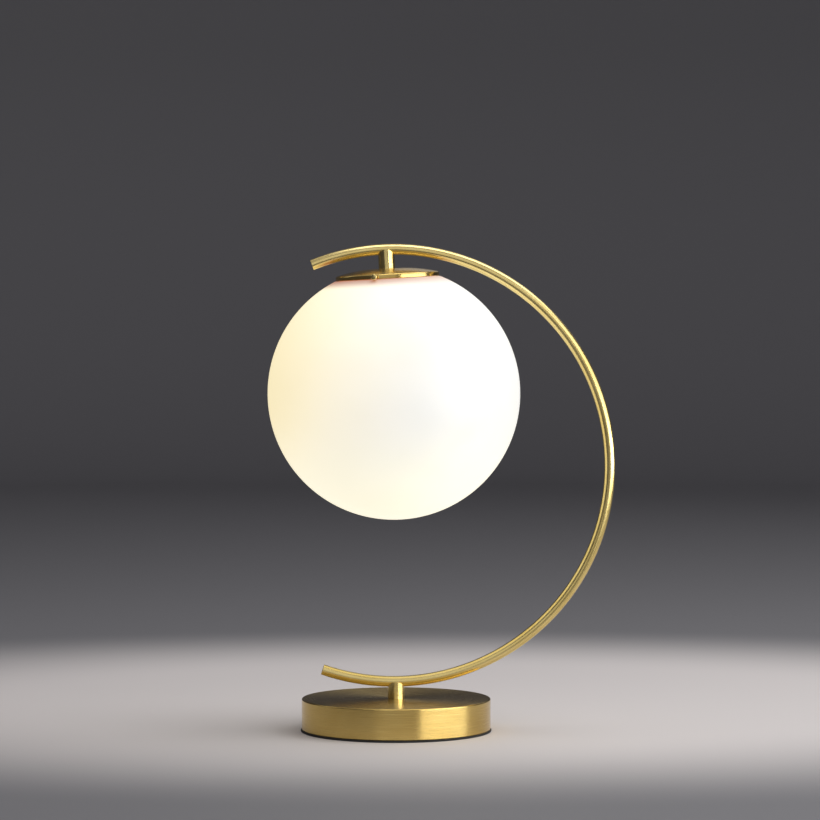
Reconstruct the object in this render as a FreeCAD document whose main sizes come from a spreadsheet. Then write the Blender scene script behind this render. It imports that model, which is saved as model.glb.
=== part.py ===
"""Globe table lamp: a glass ball hung in a C-shaped arc on a round weighted base.

Frame, in millimetres: the origin is the centre of the pad's underside, +Z is up,
+X points to the closed side of the C and -Y to the front.
"""
import FreeCAD, Part
import math
import os
import re
import Sketcher
from FreeCAD import Vector

doc = FreeCAD.newDocument("globe_table_lamp")
sheet = doc.addObject("Spreadsheet::Sheet", "Sizes")

# Driving dimensions, in millimetres and degrees.
DIMENSIONS = [
    # base
    ("base_diameter", 150.0, "outside of the round base shell"),
    ("base_height", 24.5, "pad to the top face of the shell"),
    ("pad_thickness", 1.5, "soft pad under the base"),
    ("pad_overhang", 0.8, "pad edge past the shell, all round"),
    ("shell_wall", 1.2, "sheet of the base shell"),
    ("shell_top_round", 1.0, "rounding of the top edge"),
    ("shell_foot_bevel", 0.6, "bevel of the bottom edge"),
    ("plate_thickness", 2.0, "steel bottom plate"),
    ("plate_gap", 0.2, "bottom plate to shell, all round"),
    ("weight_thickness", 12.0, "iron weight without its bosses"),
    ("weight_gap", 0.5, "weight to shell, all round"),
    ("boss_diameter", 12.0, "bosses that the plate screws enter"),
    ("boss_circle", 110.0, "circle through the three bosses"),
    ("plate_screw_length", 10.0, "countersunk plate screw, over all"),
    ("machine_screw_diameter", 3.0, "plate screws and block screw"),
    ("machine_screw_head", 5.6, "their heads"),
    ("block_head_thickness", 1.8, "head of the block screw"),
    ("block_screw_bite", 5.0, "block screw inside the weight"),
    ("hole_bottom_gap", 0.5, "free depth past a screw or wire end in a blind hole"),
    # threaded tube fittings
    ("nipple_diameter", 10.0, "threaded tube through post, stem and holder"),
    ("nipple_bore", 7.0, "wire way in the threaded tube"),
    ("nipple_grip", 7.0, "thread inside a post, the stem or the holder"),
    ("nipple_tail", 1.5, "thread past the nut in the base"),
    ("thread_gap", 0.05, "play of a thread on the radius"),
    ("clearance_gap", 0.2, "play of a plain hole on the radius"),
    ("nut_width", 14.0, "nut across its flats"),
    ("nut_thickness", 3.0, "nut height"),
    ("washer_diameter", 20.0, "washer under a nut"),
    ("washer_thickness", 1.0, "washer height"),
    # cord inlet and terminal block
    ("inlet_level", 8.15, "middle of the cord inlet above the pad's underside"),
    ("inlet_bore", 6.0, "cord hole of the inlet bushing"),
    ("inlet_wall", 1.3, "wall of the inlet bushing"),
    ("inlet_flange_diameter", 12.0, "flange of the inlet bushing"),
    ("inlet_flange_thickness", 1.5, "its thickness"),
    ("inlet_depth", 8.0, "bushing inside the shell"),
    ("block_distance", 26.0, "base axis to the block's wire side"),
    ("block_length", 14.0, "terminal block along the wires"),
    ("block_width", 16.0, "terminal block across the wires"),
    ("block_floor_gap", 0.7, "terminal block above the bottom plate"),
    ("way_spacing", 8.0, "between the two terminal ways"),
    ("way_depth", 7.5, "depth of a terminal way"),
    # post, arc and stem
    ("post_diameter", 13.0, "post and stem"),
    ("post_height", 13.3, "shell top to the arc's centreline"),
    ("stem_length", 15.2, "arc's centreline to the crown of the cap"),
    ("tube_diameter", 8.5, "arc tube"),
    ("tube_wall", 1.0, "its wall"),
    ("arc_radius", 171.5, "centreline radius of the arc"),
    ("arc_offset", 2.1, "arc centre to the left of the base axis"),
    ("arc_lower_end", 109.2, "lower end of the arc, below the +X direction"),
    ("arc_upper_end", 112.1, "upper end of the arc, above the +X direction"),
    ("joint_angle", 92.0, "stem joint, above the +X direction"),
    ("lean_angle", 3.2, "lean of the hanging parts, foot to the right"),
    ("braze_gap", 0.05, "brazed joint of tube and post"),
    ("end_cap_thickness", 1.2, "end caps of the tube"),
    ("end_cap_bevel", 0.3, "bevel of their outer edge"),
    ("spigot_length", 4.0, "end cap inside the tube"),
    ("spigot_gap", 0.1, "its play on the radius"),
    ("wire_hole", 6.4, "wire holes in the tube's wall"),
    # cap that holds the glass
    ("cap_diameter", 82.0, "outside of the cap"),
    ("cap_height", 7.8, "rim to crown"),
    ("cap_flat", 19.0, "flat of the crown"),
    ("cap_skirt", 2.4, "upright part of the skirt"),
    ("cap_shoulder_round", 1.3, "rounding above the skirt"),
    ("cap_wall", 0.8, "wall of the cap"),
    ("cap_hem", 1.6, "thickness of the skirt"),
    # glass
    ("globe_diameter", 200.0, "outside of the glass ball"),
    ("glass_wall", 3.0, "wall of the ball and its neck"),
    ("shoulder_margin", 0.7, "glass shoulder past the cap's rim, all round"),
    ("rim_gap", 0.3, "cap rim above the glass shoulder"),
    ("neck_gap", 0.8, "neck to the skirt's hem, all round"),
    ("neck_height", 2.7, "top of the neck above the cap's rim"),
    ("groove_depth", 0.7, "seat of the screw tips in the neck"),
    ("groove_rise", 0.8, "half its height"),
    # thumb screw and fixed studs that hold the glass
    ("hold_count", 3, "holding points round the cap: one screw, the others studs"),
    ("screw_azimuth", -103.0, "thumb screw, from +X"),
    ("screw_level", 1.7, "screws above the cap's rim"),
    ("screw_diameter", 2.5, "screw shank"),
    ("screw_head_diameter", 4.8, "knurled head"),
    ("screw_head_length", 4.0, "its length"),
    ("screw_head_bevel", 0.4, "bevel of the head's edges"),
    ("screw_standoff", 2.0, "skirt to head"),
    ("flute_count", 12, "grooves round the head"),
    ("flute_diameter", 0.8, "width of a groove"),
    ("tip_gap", 0.3, "soft tip off the groove in the glass"),
    ("tip_length", 1.1, "soft tip outside the screw"),
    ("tip_point", 0.6, "its blunt point, across"),
    ("tip_root_diameter", 2.2, "its base, across"),
    ("tip_pin_diameter", 1.2, "pin inside the screw"),
    ("tip_pin_length", 1.8, "its length"),
    ("stud_diameter", 2.2, "fixed stud"),
    ("stud_point", 0.6, "its blunt point, across"),
    ("stud_taper", 0.9, "length of its taper"),
    ("stud_recess", 0.1, "its outer end below the skirt's face"),
    # lamp holder
    ("holder_gap", 0.4, "nut to the holder's neck"),
    ("holder_neck_diameter", 14.0, "neck of the holder"),
    ("holder_neck_length", 8.6, "its length"),
    ("holder_diameter", 39.0, "outside of the holder"),
    ("holder_cap_height", 20.6, "neck and dome of the holder"),
    ("holder_cap_skirt", 4.4, "upright part of its dome"),
    ("holder_wall", 1.8, "wall of the holder"),
    ("holder_body_length", 32.0, "lower tube of the holder"),
    ("insert_thickness", 8.8, "moulded insert"),
    ("insert_drop", 0.2, "insert below the dome's edge"),
    ("sleeve_bore", 26.9, "lamp thread in the sleeve"),
    ("sleeve_wall", 0.8, "its wall"),
    ("sleeve_length", 21.0, "its length"),
    ("centre_contact_diameter", 6.0, "centre contact"),
    ("centre_contact_height", 2.0, "its height"),
    # bulb
    ("contact_gap", 0.4, "centre contact to the bulb's tip"),
    ("bulb_tip_diameter", 9.6, "foot contact of the bulb"),
    ("bulb_tip_height", 1.5, "its height"),
    ("bulb_insulator_height", 3.1, "glass ring round the foot contact"),
    ("bulb_shell_diameter", 26.2, "screw shell of the bulb"),
    ("bulb_shell_length", 21.0, "its length"),
    ("bulb_shell_wall", 0.6, "its wall"),
    ("bulb_plug_length", 15.0, "bulb body inside the shell"),
    ("bulb_body_length", 40.0, "bulb body below the shell"),
    ("bulb_collar", 5.0, "upright edge of the bulb body"),
    ("bulb_diameter", 60.0, "bulb dome"),
    ("bulb_dome_rise", 10.0, "dome's centre below its edge"),
    ("bulb_dome_wall", 1.2, "wall of the dome"),
    ("led_board_diameter", 48.0, "light board"),
    ("led_board_thickness", 1.6, "its thickness"),
    # inner wires
    ("wire_diameter", 2.2, "insulated wire"),
    ("wire_offset", 1.2, "wire centres to the lamp's middle plane"),
    ("wire_level", 6.0, "wires above the pad's underside, in the base"),
    ("wire_bend", 4.0, "bend radius of a wire at a corner"),
    ("wire_sway", 8.0, "bend radius where the wires spread"),
    ("wire_spread_lead", 2.0, "straight wire between a spread and its terminal"),
    ("terminal_spacing", 8.0, "between the holder's two terminals"),
    ("terminal_depth", 2.5, "wire inside the insert"),
    ("way_gap", 0.15, "play of a wire in its terminal, on the radius"),
]

for row, (name, amount, meaning) in enumerate(DIMENSIONS, start=1):
    sheet.set(f"A{row}", meaning)
    sheet.set(f"B{row}", str(amount))
    sheet.setAlias(f"B{row}", name)
doc.recompute()
NAMES = {name for name, amount, meaning in DIMENSIONS}

# Lengths and levels worked out from the driving dimensions. Levels in the base are
# counted from the pad's underside, levels in the hanging parts from the cap's rim.
RELATIONS = {
    "base_radius": "base_diameter / 2",
    "inner_radius": "base_radius - shell_wall",
    "shell_top": "pad_thickness + base_height",
    "plate_top": "pad_thickness + plate_thickness",
    "weight_top": "shell_top - shell_wall",
    "weight_bottom": "weight_top - weight_thickness",
    "machine_radius": "machine_screw_diameter / 2",
    "machine_head_radius": "machine_screw_head / 2",
    "plate_hole_depth": "plate_screw_length - plate_thickness + hole_bottom_gap",
    "nipple_radius": "nipple_diameter / 2",
    "thread_radius": "nipple_radius + thread_gap",
    "washer_level": "weight_bottom - washer_thickness",
    "nut_level": "washer_level - nut_thickness",
    "nipple_foot": "nut_level - nipple_tail",
    "inlet_radius": "inlet_bore / 2 + inlet_wall",
    "block_bottom": "plate_top + block_floor_gap",
    "block_height": "weight_bottom - block_bottom",
    "way_radius": "wire_diameter / 2 + way_gap",
    "post_radius": "post_diameter / 2",
    "tube_radius": "tube_diameter / 2",
    "tube_bore_radius": "tube_radius - tube_wall",
    "post_joint": "shell_top + post_height",
    "arc_level": "post_joint + sqrt(arc_radius ^ 2 - arc_offset ^ 2)",
    "end_cap_turn": "end_cap_thickness / arc_radius * 180 / pi",
    "joint_x": "arc_radius * cos(joint_angle) - arc_offset",
    "joint_level": "arc_level + arc_radius * sin(joint_angle)",
    "rim_drop": "stem_length + cap_height",
    "cap_radius": "cap_diameter / 2",
    "crown_inside": "cap_height - cap_wall",
    "shoulder_top": "cap_skirt + cap_shoulder_round",
    "shoulder_inside": "cap_radius - cap_shoulder_round",
    "crown_drop": "cap_height - shoulder_top",
    "crown_span": "shoulder_inside - cap_flat / 2",
    "crown_round": "(crown_span ^ 2 + crown_drop ^ 2) / (2 * crown_drop)",
    "hem_radius": "cap_radius - cap_hem",
    "hem_top": "shoulder_top - cap_wall",
    "globe_radius": "globe_diameter / 2",
    "glass_inner_radius": "globe_radius - glass_wall",
    "shoulder_radius": "cap_radius + shoulder_margin",
    "shoulder_height": "sqrt(globe_radius ^ 2 - shoulder_radius ^ 2)",
    "globe_level": "0 - rim_gap - shoulder_height",
    "neck_radius": "hem_radius - neck_gap",
    "neck_inner_radius": "neck_radius - glass_wall",
    "groove_radius": "neck_radius - groove_depth",
    "tip_start": "groove_radius + tip_gap",
    "screw_start": "tip_start + tip_length + thread_gap",
    "head_start": "cap_radius + screw_standoff",
    "head_end": "head_start + screw_head_length",
    "screw_radius": "screw_diameter / 2",
    "stud_radius": "stud_diameter / 2",
    "head_radius": "screw_head_diameter / 2",
    "pin_radius": "tip_pin_diameter / 2",
    "cap_washer_level": "crown_inside - washer_thickness",
    "cap_nut_level": "cap_washer_level - nut_thickness",
    "holder_top": "cap_nut_level - holder_gap",
    "holder_radius": "holder_diameter / 2",
    "holder_inner_radius": "holder_radius - holder_wall",
    "holder_neck_radius": "holder_neck_diameter / 2",
    "holder_edge": "holder_top - holder_cap_height",
    "holder_neck_end": "holder_top - holder_neck_length",
    "holder_body_end": "holder_edge - holder_body_length",
    "insert_top": "holder_edge - insert_drop",
    "insert_bottom": "insert_top - insert_thickness",
    "sleeve_end": "insert_bottom - sleeve_length",
    "sleeve_radius": "sleeve_bore / 2",
    "contact_bottom": "insert_bottom - centre_contact_height",
    "bulb_top": "contact_bottom - contact_gap",
    "bulb_tip_end": "bulb_top - bulb_tip_height",
    "bulb_shell_top": "bulb_tip_end - bulb_insulator_height",
    "bulb_shell_end": "bulb_shell_top - bulb_shell_length",
    "bulb_shell_radius": "bulb_shell_diameter / 2",
    "bulb_plug_radius": "bulb_shell_radius - bulb_shell_wall",
    "bulb_edge": "bulb_shell_end - bulb_body_length",
    "bulb_radius": "bulb_diameter / 2",
    "bulb_edge_radius": "sqrt(bulb_radius ^ 2 - bulb_dome_rise ^ 2)",
    "bulb_inner_radius": "bulb_radius - bulb_dome_wall",
    "bulb_inner_edge": "sqrt(bulb_inner_radius ^ 2 - bulb_dome_rise ^ 2)",
    "bulb_dome_level": "bulb_edge - bulb_dome_rise",
}


def formula(text):
    """The sheet's expression for a formula written with the names above."""
    def spell(match):
        word = match.group(0)
        if word in RELATIONS:
            return f"({formula(RELATIONS[word])})"
        if word in NAMES:
            return f"Sizes.{word}"
        return word
    return re.sub(r"[a-z]\w*", spell, text)


def number(text):
    """The present value of a formula."""
    return float(sheet.evalExpression(formula(text)))


def bind(thing, at=None, **sizes):
    """Tie an object's sizes, and its place if given, to the sheet."""
    for name, text in sizes.items():
        thing.setExpression(name, formula(text))
    if at:
        thing.setExpression("Placement", formula(at))
    return thing


def spot(x="0", y="0", z="0", about="0; 0; 1", angle="0"):
    """A place for bind: a shift, then a turn about an axis."""
    return f"placement(vector({x}; {y}; {z}); rotation(vector({about}); {angle}))"


LEAN = spot("joint_x", "0", "joint_level", "0; 1; 0", "0 - lean_angle")
RIM = f"{LEAN} * {spot(z='0 - rim_drop')}"


def hung(z="0"):
    """A place on the leaning axis, at a height above the cap's rim."""
    return f"{RIM} * {spot(z=z)}"


def new(kind, name):
    return doc.addObject(kind, name)


def cylinder(radius, height, at):
    return bind(new("Part::Cylinder", "rod"), at, Radius=radius, Height=height)


def cone(radius_low, radius_high, height, at):
    return bind(new("Part::Cone", "cone"), at, Radius1=radius_low, Radius2=radius_high, Height=height)


def box(length, width, height, at):
    return bind(new("Part::Box", "block"), at, Length=length, Width=width, Height=height)


def joined(things):
    fuse = new("Part::MultiFuse", "joined")
    fuse.Shapes = things
    return fuse


def cut(name, base, tools):
    """A sub-part: its base with every tool taken away."""
    result = new("Part::Cut", name)
    result.Base = base
    result.Tool = tools[0] if len(tools) == 1 else joined(tools)
    return result


def plane_sketch(body, role, name):
    plane = next(item for item in body.Origin.OriginFeatures if item.Role == role)
    sketch = body.newObject("Sketcher::SketchObject", name)
    sketch.AttachmentSupport = [(plane, "")]
    sketch.MapMode = "FlatFace"
    return sketch


def fix_point(sketch, edge, end, x, y):
    """Hold one end of an edge at two formulas of the sketch's axes."""
    for kind, text, axis in (("DistanceX", x, -2), ("DistanceY", y, -1)):
        if text == "0":
            sketch.addConstraint(Sketcher.Constraint("PointOnObject", edge, end, axis))
            continue
        index = sketch.addConstraint(Sketcher.Constraint(kind, -1, 1, edge, end, number(text)))
        sketch.setExpression(f"Constraints[{index}]", formula(text))


def curve(start, stop, radius, side):
    """The short arc from start to stop, its centre to the left (1) or right (-1)."""
    chord = stop - start
    across = Vector(-chord.y, chord.x, 0).normalize()
    reach = math.sqrt(radius ** 2 - chord.Length ** 2 / 4)
    centre = (start + stop) / 2 + across * reach * side
    first, last = (start, stop) if side > 0 else (stop, start)
    angles = [math.atan2(point.y - centre.y, point.x - centre.x) for point in (first, last)]
    return Part.ArcOfCircle(Part.Circle(centre, Vector(0, 0, 1), radius), *angles)


def turned(name, outline, at):
    """A body turned about its own Z axis.

    The outline's corners are (radius, height) formulas. A corner with two more
    items starts an arc: its radius and the side of its centre, as in curve.
    """
    body = new("PartDesign::Body", name)
    sketch = plane_sketch(body, "XZ_Plane", f"{name}_outline")
    points = [Vector(number(corner[0]), number(corner[1]), 0) for corner in outline]
    ends = []
    for index, corner in enumerate(outline):
        start, stop = points[index], points[(index + 1) % len(points)]
        if len(corner) == 2:
            sketch.addGeometry(Part.LineSegment(start, stop))
            ends.append((1, 2))
        else:
            sketch.addGeometry(curve(start, stop, number(corner[2]), corner[3]))
            ends.append((1, 2) if corner[3] > 0 else (2, 1))
    for index, corner in enumerate(outline):
        after = (index + 1) % len(outline)
        joint = Sketcher.Constraint("Coincident", index, ends[index][1], after, ends[after][0])
        sketch.addConstraint(joint)
        fix_point(sketch, index, ends[index][0], corner[0], corner[1])
        if len(corner) > 2:
            bow = sketch.addConstraint(Sketcher.Constraint("Radius", index, number(corner[2])))
            sketch.setExpression(f"Constraints[{bow}]", formula(corner[2]))
    spin = body.newObject("PartDesign::Revolution", f"{name}_spin")
    spin.Profile = sketch
    spin.ReferenceAxis = (sketch, ["V_Axis"])
    spin.Angle = 360
    return bind(body, at)


def ring(name, inner, outer, low, high, at):
    return turned(name, [(inner, low), (outer, low), (outer, high), (inner, high)], at)


def hex_nut(name, at):
    blank = bind(new("Part::Prism", f"{name}_blank"), at,
                 Circumradius="nut_width / 2 / cos(30)", Height="nut_thickness")
    blank.Polygon = 6
    return cut(name, blank, [cylinder("thread_radius", "nut_thickness", at)])


def washer(name, low, at):
    return ring(name, "thread_radius + clearance_gap", "washer_diameter / 2",
                low, f"{low} + washer_thickness", at)


def boss_spot(turn, z):
    """A place on the circle of the three plate screws."""
    return f"{spot(angle=str(turn))} * {spot(x='boss_circle / 2', z=z)}"


# ---------------------------------------------------------------- base

GROUND = spot()
BOSS_TURNS = (30, 150, 270)
INLET_SPOT = spot(y="base_radius - inlet_depth", z="inlet_level", about="1; 0; 0", angle="-90")


def make_base_pad():
    return [cylinder("base_radius + pad_overhang", "pad_thickness", GROUND)]


def make_base_plate():
    """Steel disc with countersunk holes, flush inside the shell."""
    disc = cylinder("inner_radius - plate_gap", "plate_thickness", spot(z="pad_thickness"))
    wide = "machine_head_radius + clearance_gap"
    narrow = "machine_radius + clearance_gap"
    tools = []
    for turn in BOSS_TURNS:
        tools.append(cone(wide, narrow, "machine_head_radius - machine_radius",
                          boss_spot(turn, "pad_thickness")))
        tools.append(cylinder(narrow, "plate_thickness", boss_spot(turn, "pad_thickness")))
    return [cut("base_plate", disc, tools)]


def make_plate_screws():
    """Three countersunk screws from the plate into the weight's bosses."""
    outline = [
        ("0", "0"),
        ("machine_head_radius", "0"),
        ("machine_radius", "machine_head_radius - machine_radius"),
        ("machine_radius", "plate_screw_length"),
        ("0", "plate_screw_length"),
    ]
    screws = [turned("plate_screw", outline, boss_spot(turn, "pad_thickness")) for turn in BOSS_TURNS]
    group = new("Part::Compound", "plate_screws")
    group.Links = screws
    return [group]


def make_base_shell():
    """Drum of sheet brass, open below, with the post's hole and the cord's hole."""
    outline = [
        ("inner_radius", "pad_thickness"),
        ("base_radius - shell_foot_bevel", "pad_thickness"),
        ("base_radius", "pad_thickness + shell_foot_bevel"),
        ("base_radius", "shell_top - shell_top_round", "shell_top_round", 1),
        ("base_radius - shell_top_round", "shell_top"),
        ("thread_radius + clearance_gap", "shell_top"),
        ("thread_radius + clearance_gap", "weight_top"),
        ("inner_radius", "weight_top"),
    ]
    drum = turned("drum", outline, GROUND)
    hole = cylinder("inlet_radius + clearance_gap / 2", "inlet_depth * 2", INLET_SPOT)
    return [cut("base_shell", drum, [hole])]


def make_base_weight():
    """Iron disc under the shell's top, with three bosses down to the plate."""
    disc = cylinder("inner_radius - weight_gap", "weight_thickness", spot(z="weight_bottom"))
    bosses = [cylinder("boss_diameter / 2", "weight_top - plate_top", boss_spot(turn, "plate_top"))
              for turn in BOSS_TURNS]
    tools = [cylinder("machine_radius + thread_gap", "plate_hole_depth", boss_spot(turn, "plate_top"))
             for turn in BOSS_TURNS]
    tools.append(cylinder("thread_radius + clearance_gap", "weight_thickness", spot(z="weight_bottom")))
    tools.append(cylinder("machine_radius + thread_gap", "block_screw_bite + hole_bottom_gap",
                          spot(x="block_distance + block_length / 2", z="weight_bottom")))
    relief_start = spot(y="base_radius - inlet_depth - hole_bottom_gap", z="inlet_level",
                        about="1; 0; 0", angle="-90")
    tools.append(cylinder("inlet_radius + weight_gap", "inlet_depth * 2", relief_start))
    return [cut("base_weight", joined([disc] + bosses), tools)]


def make_base_fittings():
    """Threaded tube that clamps post, shell and weight, with its washer and nut."""
    nipple = ring("base_nipple", "nipple_bore / 2", "nipple_radius",
                  "nipple_foot", "shell_top + nipple_grip", GROUND)
    return [
        washer("nipple_washer", "washer_level", GROUND),
        hex_nut("nipple_nut", spot(z="nut_level")),
        nipple,
    ]


def make_inlet_bushing():
    """Flanged bushing in the shell's back wall, for the mains cord."""
    outline = [
        ("inlet_bore / 2", "0"),
        ("inlet_radius", "0"),
        ("inlet_radius", "inlet_depth"),
        ("inlet_flange_diameter / 2", "inlet_depth"),
        ("inlet_flange_diameter / 2", "inlet_depth + inlet_flange_thickness"),
        ("inlet_bore / 2", "inlet_depth + inlet_flange_thickness"),
    ]
    return [turned("inlet_bushing", outline, INLET_SPOT)]


def make_terminal_block():
    """Two-way block under the weight, and the screw that holds it."""
    blank = box("block_length", "block_width", "block_height",
                spot(x="block_distance", y="0 - block_width / 2", z="block_bottom"))
    middle = "block_distance + block_length / 2"
    tools = [
        cylinder("machine_radius + clearance_gap", "block_height", spot(x=middle, z="block_bottom")),
        cylinder("machine_head_radius + clearance_gap", "block_head_thickness + clearance_gap",
                 spot(x=middle, z="block_bottom")),
    ]
    for side in ("0 - way_spacing / 2", "way_spacing / 2"):
        entry = spot(x="block_distance", y=side, z="wire_level", about="0; 1; 0", angle="90")
        tools.append(cylinder("way_radius", "way_depth", entry))
    block = cut("terminal_block", blank, tools)
    head = "block_head_thickness"
    end = "block_height - clearance_gap + block_screw_bite"
    outline = [("0", "0"), ("machine_head_radius", "0"), ("machine_head_radius", head),
               ("machine_radius", head), ("machine_radius", end), ("0", end)]
    screw = turned("block_screw", outline, spot(x=middle, z="block_bottom + clearance_gap"))
    return [block, screw]


# ---------------------------------------------------------------- post, arc, stem


def saddle_post(name, length, at):
    """Round post with its foot at 0, its head hollowed to fit round the arc tube.

    From the front the head is a round arch that reaches the tube's centreline.
    """
    shaft = cylinder("post_radius", length, at)
    width = "post_diameter * 2"
    straight = box(width, width, f"{length} - post_radius",
                   f"{at} * {spot('0 - post_diameter', '0 - post_diameter')}")
    arch = cylinder("post_radius", width,
                    f"{at} * {spot(y='post_diameter', z=f'{length} - post_radius', about='1; 0; 0', angle='90')}")
    head = new("Part::MultiCommon", f"{name}_head")
    head.Shapes = [shaft, joined([straight, arch])]
    seat = bind(new("Part::Torus", f"{name}_seat"),
                spot("0 - arc_offset", "0", "arc_level", "1; 0; 0", "90"),
                Radius1="arc_radius", Radius2="tube_radius + braze_gap")
    thread = cylinder("thread_radius", "nipple_grip + hole_bottom_gap", at)
    bore = cylinder("nipple_bore / 2", length, at)
    return cut(name, head, [seat, thread, bore])


def make_post():
    return [saddle_post("post", "post_height", spot(z="shell_top"))]


def make_stem():
    return [saddle_post("stem", "stem_length", f"{LEAN} * {spot(z='0 - stem_length')}")]


def make_arc_tube():
    """C-shaped tube, with a wire hole over the post and one over the stem."""
    bent = new("PartDesign::Body", "arc_bend")
    section = plane_sketch(bent, "XY_Plane", "arc_section")
    for radius in ("tube_radius", "tube_bore_radius"):
        centre = Vector(number("arc_radius"), 0, 0)
        circle = section.addGeometry(Part.Circle(centre, Vector(0, 0, 1), number(radius)))
        fix_point(section, circle, 3, "arc_radius", "0")
        size = section.addConstraint(Sketcher.Constraint("Radius", circle, number(radius)))
        section.setExpression(f"Constraints[{size}]", formula(radius))
    sweep = bent.newObject("PartDesign::Revolution", "arc_sweep")
    sweep.Profile = section
    sweep.ReferenceAxis = (section, ["V_Axis"])
    sweep.Reversed = True
    bind(sweep, Angle="arc_lower_end + arc_upper_end - 2 * end_cap_turn")
    bind(bent, spot("0 - arc_offset", "0", "arc_level", "0; 1; 0", "arc_lower_end - end_cap_turn"))
    holes = [
        cylinder("wire_hole / 2", "tube_diameter", spot(z="post_joint - tube_diameter")),
        cylinder("wire_hole / 2", "tube_diameter", f"{LEAN} * {spot(z='0 - tube_diameter')}"),
    ]
    return [cut("arc_tube", bent, holes)]


def make_tube_caps():
    """Flush plugs that close the two ends of the tube."""
    outline = [
        ("0", "0 - spigot_length"),
        ("tube_bore_radius - spigot_gap", "0 - spigot_length"),
        ("tube_bore_radius - spigot_gap", "0"),
        ("tube_radius", "0"),
        ("tube_radius", "end_cap_thickness - end_cap_bevel"),
        ("tube_radius - end_cap_bevel", "end_cap_thickness"),
        ("0", "end_cap_thickness"),
    ]
    caps = []
    for name, end, turn in (
            ("tube_cap_upper", "(arc_upper_end - end_cap_turn)", "0 - {}"),
            ("tube_cap_lower", "(end_cap_turn - arc_lower_end)", "180 - {}")):
        place = spot(f"arc_radius * cos({end}) - arc_offset", "0",
                     f"arc_level + arc_radius * sin({end})", "0; 1; 0", turn.format(end))
        caps.append(turned(name, outline, place))
    return caps


# ---------------------------------------------------------------- cap and glass


def hold_spot(index):
    """Axis of one holding point: its Z runs outward from the leaning axis."""
    turn = f"screw_azimuth + {index} * 360 / hold_count"
    return f"{hung('screw_level')} * {spot(angle=turn)} * {spot(about='0; 1; 0', angle='90')}"


def studs():
    """The holding points that have a stud: all but the screw's."""
    return range(1, int(number("hold_count")))


def make_fitter_cap():
    """Shallow domed cap with a hemmed skirt and holes for the thumb screw and the studs."""
    inner_corner = "shoulder_inside - cap_hem"
    outline = [
        ("hem_radius", "0"),
        ("cap_radius", "0"),
        ("cap_radius", "cap_skirt", "cap_shoulder_round", 1),
        ("shoulder_inside", "shoulder_top", "crown_round", 1),
        ("cap_flat / 2", "cap_height"),
        ("thread_radius + clearance_gap", "cap_height"),
        ("thread_radius + clearance_gap", "crown_inside"),
        ("cap_flat / 2", "crown_inside", "crown_round", -1),
        (inner_corner, "hem_top + crown_drop * cap_hem / crown_span"),
        ("hem_radius", "hem_top - cap_wall / 2"),
    ]
    dome = turned("dome", outline, hung())
    holes = [cylinder("screw_radius + thread_gap", "head_start", hold_spot(0))]
    holes += [cylinder("stud_radius", "head_start", hold_spot(index)) for index in studs()]
    return [cut("fitter_cap", dome, holes)]


def make_cap_fittings():
    """Washer, nut and threaded tube that clamp the cap to the stem."""
    nipple = ring("top_nipple", "nipple_bore / 2", "nipple_radius",
                  "holder_top - nipple_grip", "cap_height + nipple_grip", hung())
    return [
        washer("cap_washer", "cap_washer_level", hung()),
        hex_nut("cap_nut", hung("cap_nut_level")),
        nipple,
    ]


def make_thumb_screw():
    """Knurled screw through the skirt, with a soft tip that doesn't turn with it."""
    bevel = "screw_head_bevel"
    shank = turned("thumb_screw", [
        ("0", "screw_start + tip_pin_length + thread_gap"),
        ("pin_radius + thread_gap", "screw_start + tip_pin_length + thread_gap"),
        ("pin_radius + thread_gap", "screw_start"),
        ("screw_radius", "screw_start"),
        ("screw_radius", "head_start"),
        (f"head_radius - {bevel}", "head_start"),
        ("head_radius", f"head_start + {bevel}"),
        ("head_radius", f"head_end - {bevel}"),
        (f"head_radius - {bevel}", "head_end"),
        ("0", "head_end"),
    ], hold_spot(0))
    flute = plane_sketch(shank, "XY_Plane", "flute_outline")
    bind(flute, **{"AttachmentOffset.Base.z": "head_start"})
    radius = "flute_diameter / 2"
    rim = flute.addGeometry(Part.Circle(Vector(number("head_radius"), 0, 0), Vector(0, 0, 1),
                                        number(radius)))
    fix_point(flute, rim, 3, "head_radius", "0")
    size = flute.addConstraint(Sketcher.Constraint("Radius", rim, number(radius)))
    flute.setExpression(f"Constraints[{size}]", formula(radius))
    doc.recompute()
    groove = shank.newObject("PartDesign::Pocket", "flute")
    groove.Profile = flute
    groove.Reversed = True
    bind(groove, Length="screw_head_length")
    knurl = shank.newObject("PartDesign::PolarPattern", "knurl")
    knurl.Originals = [groove]
    knurl.Axis = (flute, ["N_Axis"])
    knurl.Angle = 360
    bind(knurl, Occurrences="flute_count")
    shank.Tip = knurl
    tip = turned("screw_tip", [
        ("0", "tip_start"),
        ("tip_point / 2", "tip_start"),
        ("tip_root_diameter / 2", "tip_start + tip_length * 0.8"),
        ("tip_root_diameter / 2", "tip_start + tip_length"),
        ("pin_radius", "tip_start + tip_length"),
        ("pin_radius", "tip_start + tip_length + tip_pin_length"),
        ("0", "tip_start + tip_length + tip_pin_length"),
    ], hold_spot(0))
    return [shank, tip]


def make_studs():
    """Fixed studs in the skirt, whose points hold the glass across from the screw."""
    return [turned(f"stud_{index}", [
        ("0", "tip_start"),
        ("stud_point / 2", "tip_start"),
        ("stud_radius", "tip_start + stud_taper"),
        ("stud_radius", "cap_radius - stud_recess"),
        ("0", "cap_radius - stud_recess"),
    ], hold_spot(index)) for index in studs()]


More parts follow.
